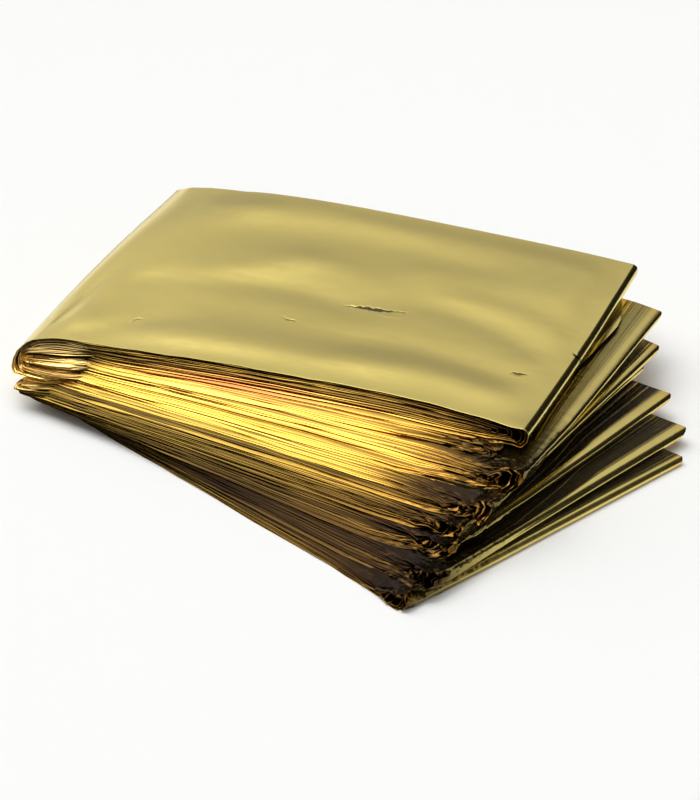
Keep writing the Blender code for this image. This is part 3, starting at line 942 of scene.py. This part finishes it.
film_points, film_levels = folded_film()
film_mesh = grid_mesh("folded_film", film_points)
depth_over = film_columns()[3] * STRIP_WIDTH / CRUSHED_LOOK_REACH
crushed_look = crushed(film_points[..., 0], depth_over, CRUSHED_LOOK_X) * (film_levels < CRUSHED_LOOK_TOP)
add_values(film_mesh, "gold_and_painted_light", "FLOAT_COLOR", "color", film_colours(film_points, film_levels))
add_values(film_mesh, "crushed", "FLOAT", "value", crushed_look)
add_values(film_mesh, "right_flat", "FLOAT_VECTOR", "vector", flat_shares(film_points, film_levels))
film_mesh.materials.append(film_material())
film = bpy.data.objects.new("folded_film", film_mesh)
bpy.context.scene.collection.objects.link(film)
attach(film, "root")
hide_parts("foil_blanket")

# ------------------------------------------------------------
# The floor: a plain pale board, painted matt, so that it shows only soft shadows. It is one face.

FLOOR_HALF = 3.0
FLOOR_PAINT = "#F2F2F0"
floor_corners = [(x * FLOOR_HALF, y * FLOOR_HALF, 0) for x, y in ((-1, -1), (1, -1), (1, 1), (-1, 1))]
floor_mesh = bpy.data.meshes.new("floor")
floor_mesh.from_pydata(floor_corners, [], [(0, 1, 2, 3)])
floor = bpy.data.objects.new("floor", floor_mesh)
bpy.context.scene.collection.objects.link(floor)
floor_material = bpy.data.materials.new("pale_matt_paint")
floor_material.use_nodes = True
paint = floor_material.node_tree.nodes["Principled BSDF"]
paint.inputs["Base Color"].default_value = linear(FLOOR_PAINT)
paint.inputs["Roughness"].default_value = 0.9
floor_mesh.materials.append(floor_material)

# ------------------------------------------------------------
# The studio: pale walls with soft patches of light and dark, of cloth and board, for the foil to
# mirror. It is the world's colour.

# Each patch has the azimuth and elevation of its middle and the radii between which it fades, in
# degrees, then its brightness. A later one lies over those before it.
Patch = namedtuple("Patch", "azimuth elevation inner outer brightness")
STUDIO_PATCHES = (
    Patch(240, 30, 33, 48, 0.67),
    Patch(219, 34, 1, 9, 0.50),
    Patch(206, 4, 14, 32, 0.38),
    Patch(231, 2, 6, 14, 0.95),
    Patch(222, 56, 8, 28, 0.78),
    Patch(158, 16, 35, 42, 0.010),
    Patch(322, 10, 42, 56, 0.14),
    Patch(270, 20, 12, 26, 1.7),
    Patch(262, 56, 18, 28, 3.5),
)
WALL_BRIGHTNESS = 0.42


def direction(azimuth, elevation):
    """The unit vector from the origin at an azimuth and an elevation in degrees, with 0 towards -Y."""
    turn, rise = np.radians(azimuth), np.radians(elevation)
    return Vector((np.sin(turn) * np.cos(rise), -np.cos(turn) * np.cos(rise), np.sin(rise)))


world = bpy.data.worlds.new("studio")
bpy.context.scene.world = world
bpy.context.scene.view_settings.view_transform = "Standard"
world.use_nodes = True
sky = world.node_tree
sky.nodes.clear()
toward = add_node(sky, "ShaderNodeTexCoord").outputs["Generated"]
shade = WALL_BRIGHTNESS
for patch in STUDIO_PATCHES:
    cosine = add_node(sky, "ShaderNodeVectorMath", [
        (0, toward), (1, direction(patch.azimuth, patch.elevation))], operation="DOT_PRODUCT")
    inside = add_node(sky, "ShaderNodeMapRange", [
        ("Value", cosine.outputs["Value"]), ("From Min", np.cos(np.radians(patch.outer))),
        ("From Max", np.cos(np.radians(patch.inner)))], interpolation_type="SMOOTHSTEP")
    mixed = add_node(sky, "ShaderNodeMix", [
        ("Factor", inside.outputs["Result"]), ("A", shade), ("B", patch.brightness)], data_type="FLOAT")
    shade = mixed.outputs["Result"]
background = add_node(sky, "ShaderNodeBackground", [("Color", shade), ("Strength", 1.0)])
add_node(sky, "ShaderNodeOutputWorld", [("Surface", background.outputs["Background"])])

# ------------------------------------------------------------
# The overhead light: a wide square soft box that looks straight down.

SOFT_BOX_HEIGHT = 1.5
SOFT_BOX_WIDTH = 1.4
SOFT_BOX_WATTS = 8.5
soft_box = bpy.data.lights.new("overhead", "AREA")
soft_box.shape = "SQUARE"
soft_box.size = SOFT_BOX_WIDTH
soft_box.energy = SOFT_BOX_WATTS
overhead = bpy.data.objects.new("overhead", soft_box)
overhead.location = (0, 0, SOFT_BOX_HEIGHT)
bpy.context.scene.collection.objects.link(overhead)

# ------------------------------------------------------------
# The camera: a long lens, from the front right and above.

AZIMUTH, ELEVATION, DISTANCE = 35.0, 29.1, 0.6263
LOOK_AT = Vector((0.0041, -0.0014, 0.0))
FOCAL_PIXELS = 2435.0
PICTURE_HEIGHT = 800
SENSOR_HEIGHT = 36  # in mm
toward_camera = direction(AZIMUTH, ELEVATION)
lens = bpy.data.cameras.new("camera")
lens.lens = FOCAL_PIXELS * SENSOR_HEIGHT / PICTURE_HEIGHT
lens.sensor_width = SENSOR_HEIGHT
camera = bpy.data.objects.new("camera", lens)
camera.location = LOOK_AT + toward_camera * DISTANCE
camera.rotation_euler = toward_camera.to_track_quat("Z", "Y").to_euler()
bpy.context.scene.collection.objects.link(camera)
bpy.context.scene.camera = camera
